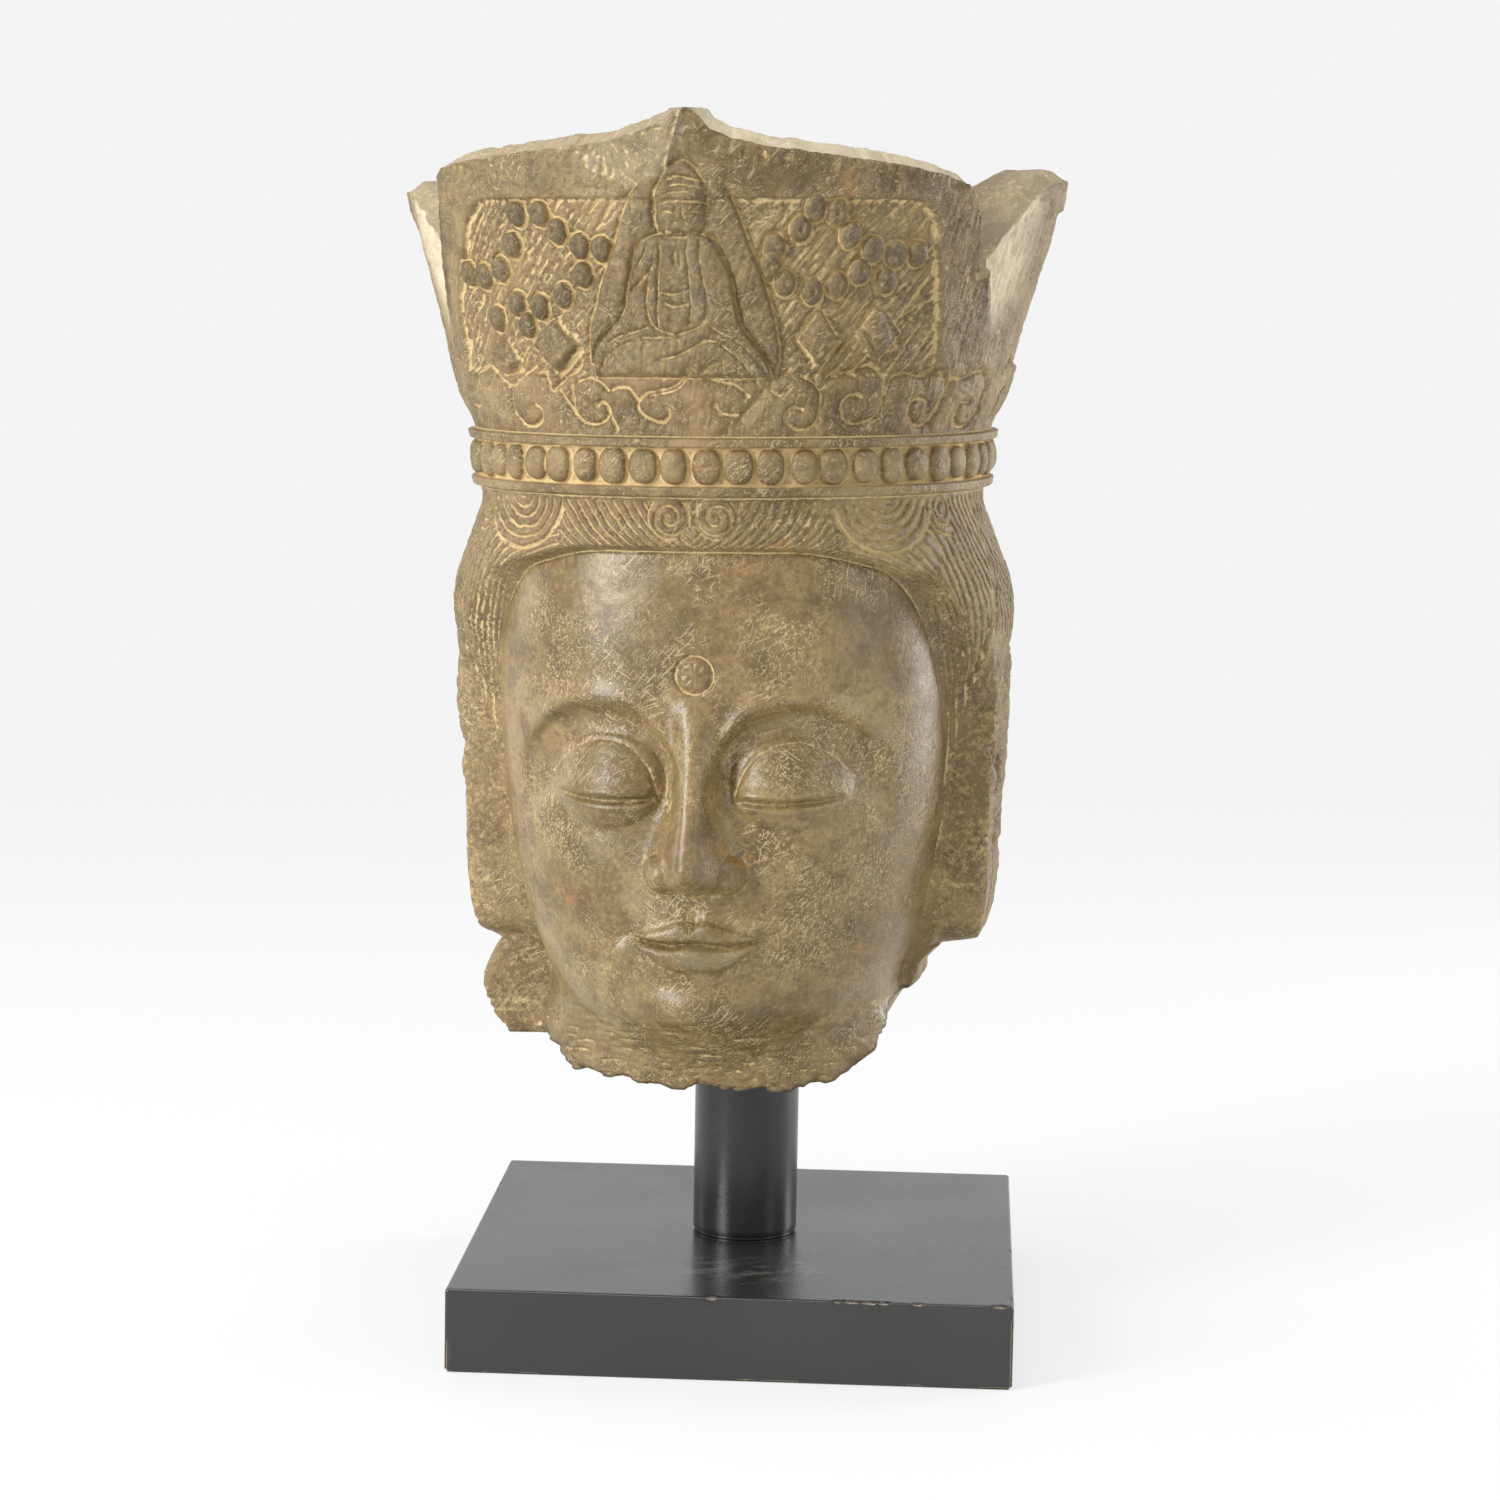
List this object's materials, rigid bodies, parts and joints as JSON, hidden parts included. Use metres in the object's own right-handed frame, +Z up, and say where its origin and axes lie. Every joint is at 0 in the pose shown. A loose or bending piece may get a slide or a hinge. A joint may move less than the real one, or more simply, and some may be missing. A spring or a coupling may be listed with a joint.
{
  "type": "carved stone bodhisattva head on a stand",
  "caption": "Broken-off stone bodhisattva head with half-closed eyes, long ears, bead diadem and tall flaring crown, held on a black post over a square block base",
  "frame": {"origin": "middle of the square base's underside, where the object stands", "axes": "+Z up, -Y is the base's front and, but for a six degree turn, the way the face looks, +X is the viewer's right"},
  "size_m": [0.3032, 0.2636, 0.5527],
  "materials": {
    "stone": "carved grey-brown limestone, worn smooth on the face, with pale dust in the cuts",
    "post_paint": "satin black paint on a round metal post",
    "base_paint": "wooden block under satin black paint, lightly scuffed with a few chipped edges"
  },
  "bodies": {
    "root": {"head": "stone", "post": "post_paint", "base": "base_paint"}
  },
  "joints": []
}
